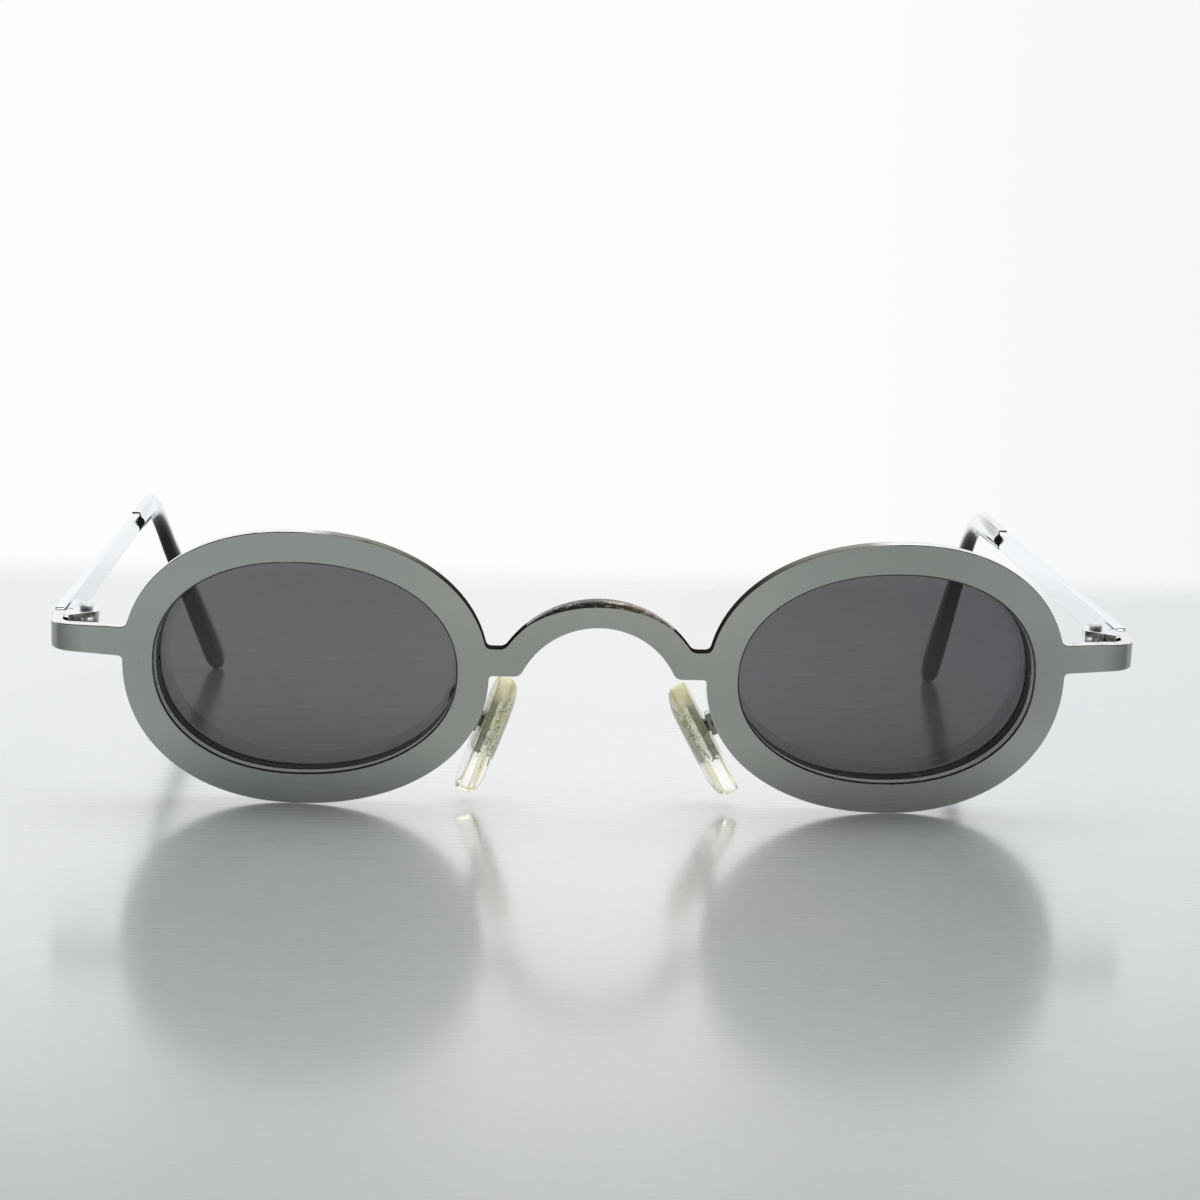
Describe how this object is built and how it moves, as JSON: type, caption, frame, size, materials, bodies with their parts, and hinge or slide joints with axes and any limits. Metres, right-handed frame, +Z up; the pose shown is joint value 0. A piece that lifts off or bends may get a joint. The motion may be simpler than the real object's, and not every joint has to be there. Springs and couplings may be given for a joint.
{
  "type": "sunglasses",
  "caption": "Small oval metal sunglasses: flat chrome front with an arched bridge, grey lenses, screwed nose pads and thin folding temples with black plastic tips.",
  "frame": {"origin": "on the ground plane, in the middle of the width and of the depth, with the glasses standing open on both ovals and both temple tips", "axes": "+X to the right as seen by someone facing the front, +Y from the front towards the temple tips, +Z up"},
  "size_m": [0.13, 0.125, 0.0333],
  "materials": {
    "chrome_front": "polished, slightly worn at the edges",
    "frame_metal": "plated, less polished",
    "screw_steel": "turned steel",
    "insert_metal": "dull, seen through the pad",
    "tinted_lens": "clear polished, neutral grey tint",
    "black_tip": "gloss",
    "clear_pad": "clear, yellowed"
  },
  "bodies": {
    "front": {"front_plate": "chrome_front", "left_eyewire": "frame_metal", "left_lens": "tinted_lens", "left_upper_closing_block": "frame_metal", "left_lower_closing_block": "frame_metal", "left_rim_screw": "screw_steel", "left_front_hinge_leaf": "frame_metal", "left_hinge_screw": "screw_steel", "left_pad_arm": "frame_metal", "left_pad_box": "frame_metal", "left_pad_screw": "screw_steel", "right_eyewire": "frame_metal", "right_lens": "tinted_lens", "right_upper_closing_block": "frame_metal", "right_lower_closing_block": "frame_metal", "right_rim_screw": "screw_steel", "right_front_hinge_leaf": "frame_metal", "right_hinge_screw": "screw_steel", "right_pad_arm": "frame_metal", "right_pad_box": "frame_metal", "right_pad_screw": "screw_steel"},
    "left_arm": {"left_temple": "chrome_front", "left_temple_hinge_leaf": "frame_metal", "left_temple_tip": "black_tip"},
    "right_arm": {"right_temple": "chrome_front", "right_temple_hinge_leaf": "frame_metal", "right_temple_tip": "black_tip"},
    "left_pad": {"left_nose_pad": "clear_pad", "left_pad_insert": "insert_metal"},
    "right_pad": {"right_nose_pad": "clear_pad", "right_pad_insert": "insert_metal"}
  },
  "joints": [
    {"name": "left_temple_fold", "type": "hinge", "parent": "front", "child": "left_arm", "pos_m": [-0.06123, -0.04881, 0.02032], "axis": [0, 0.0712, -0.9975], "range_deg": [0, 88]},
    {"name": "right_temple_fold", "type": "hinge", "parent": "front", "child": "right_arm", "pos_m": [0.06123, -0.04881, 0.02032], "axis": [0, -0.0712, 0.9975], "range_deg": [0, 83]},
    {"name": "left_pad_rock", "type": "hinge", "parent": "front", "child": "left_pad", "pos_m": [-0.01455, -0.05302, 0.01035], "axis": [-0.0475, 0.9984, 0.032], "range_deg": [-4, 12]},
    {"name": "right_pad_rock", "type": "hinge", "parent": "front", "child": "right_pad", "pos_m": [0.01455, -0.05302, 0.01035], "axis": [0.0475, 0.9984, 0.032], "range_deg": [-4, 12]}
  ]
}
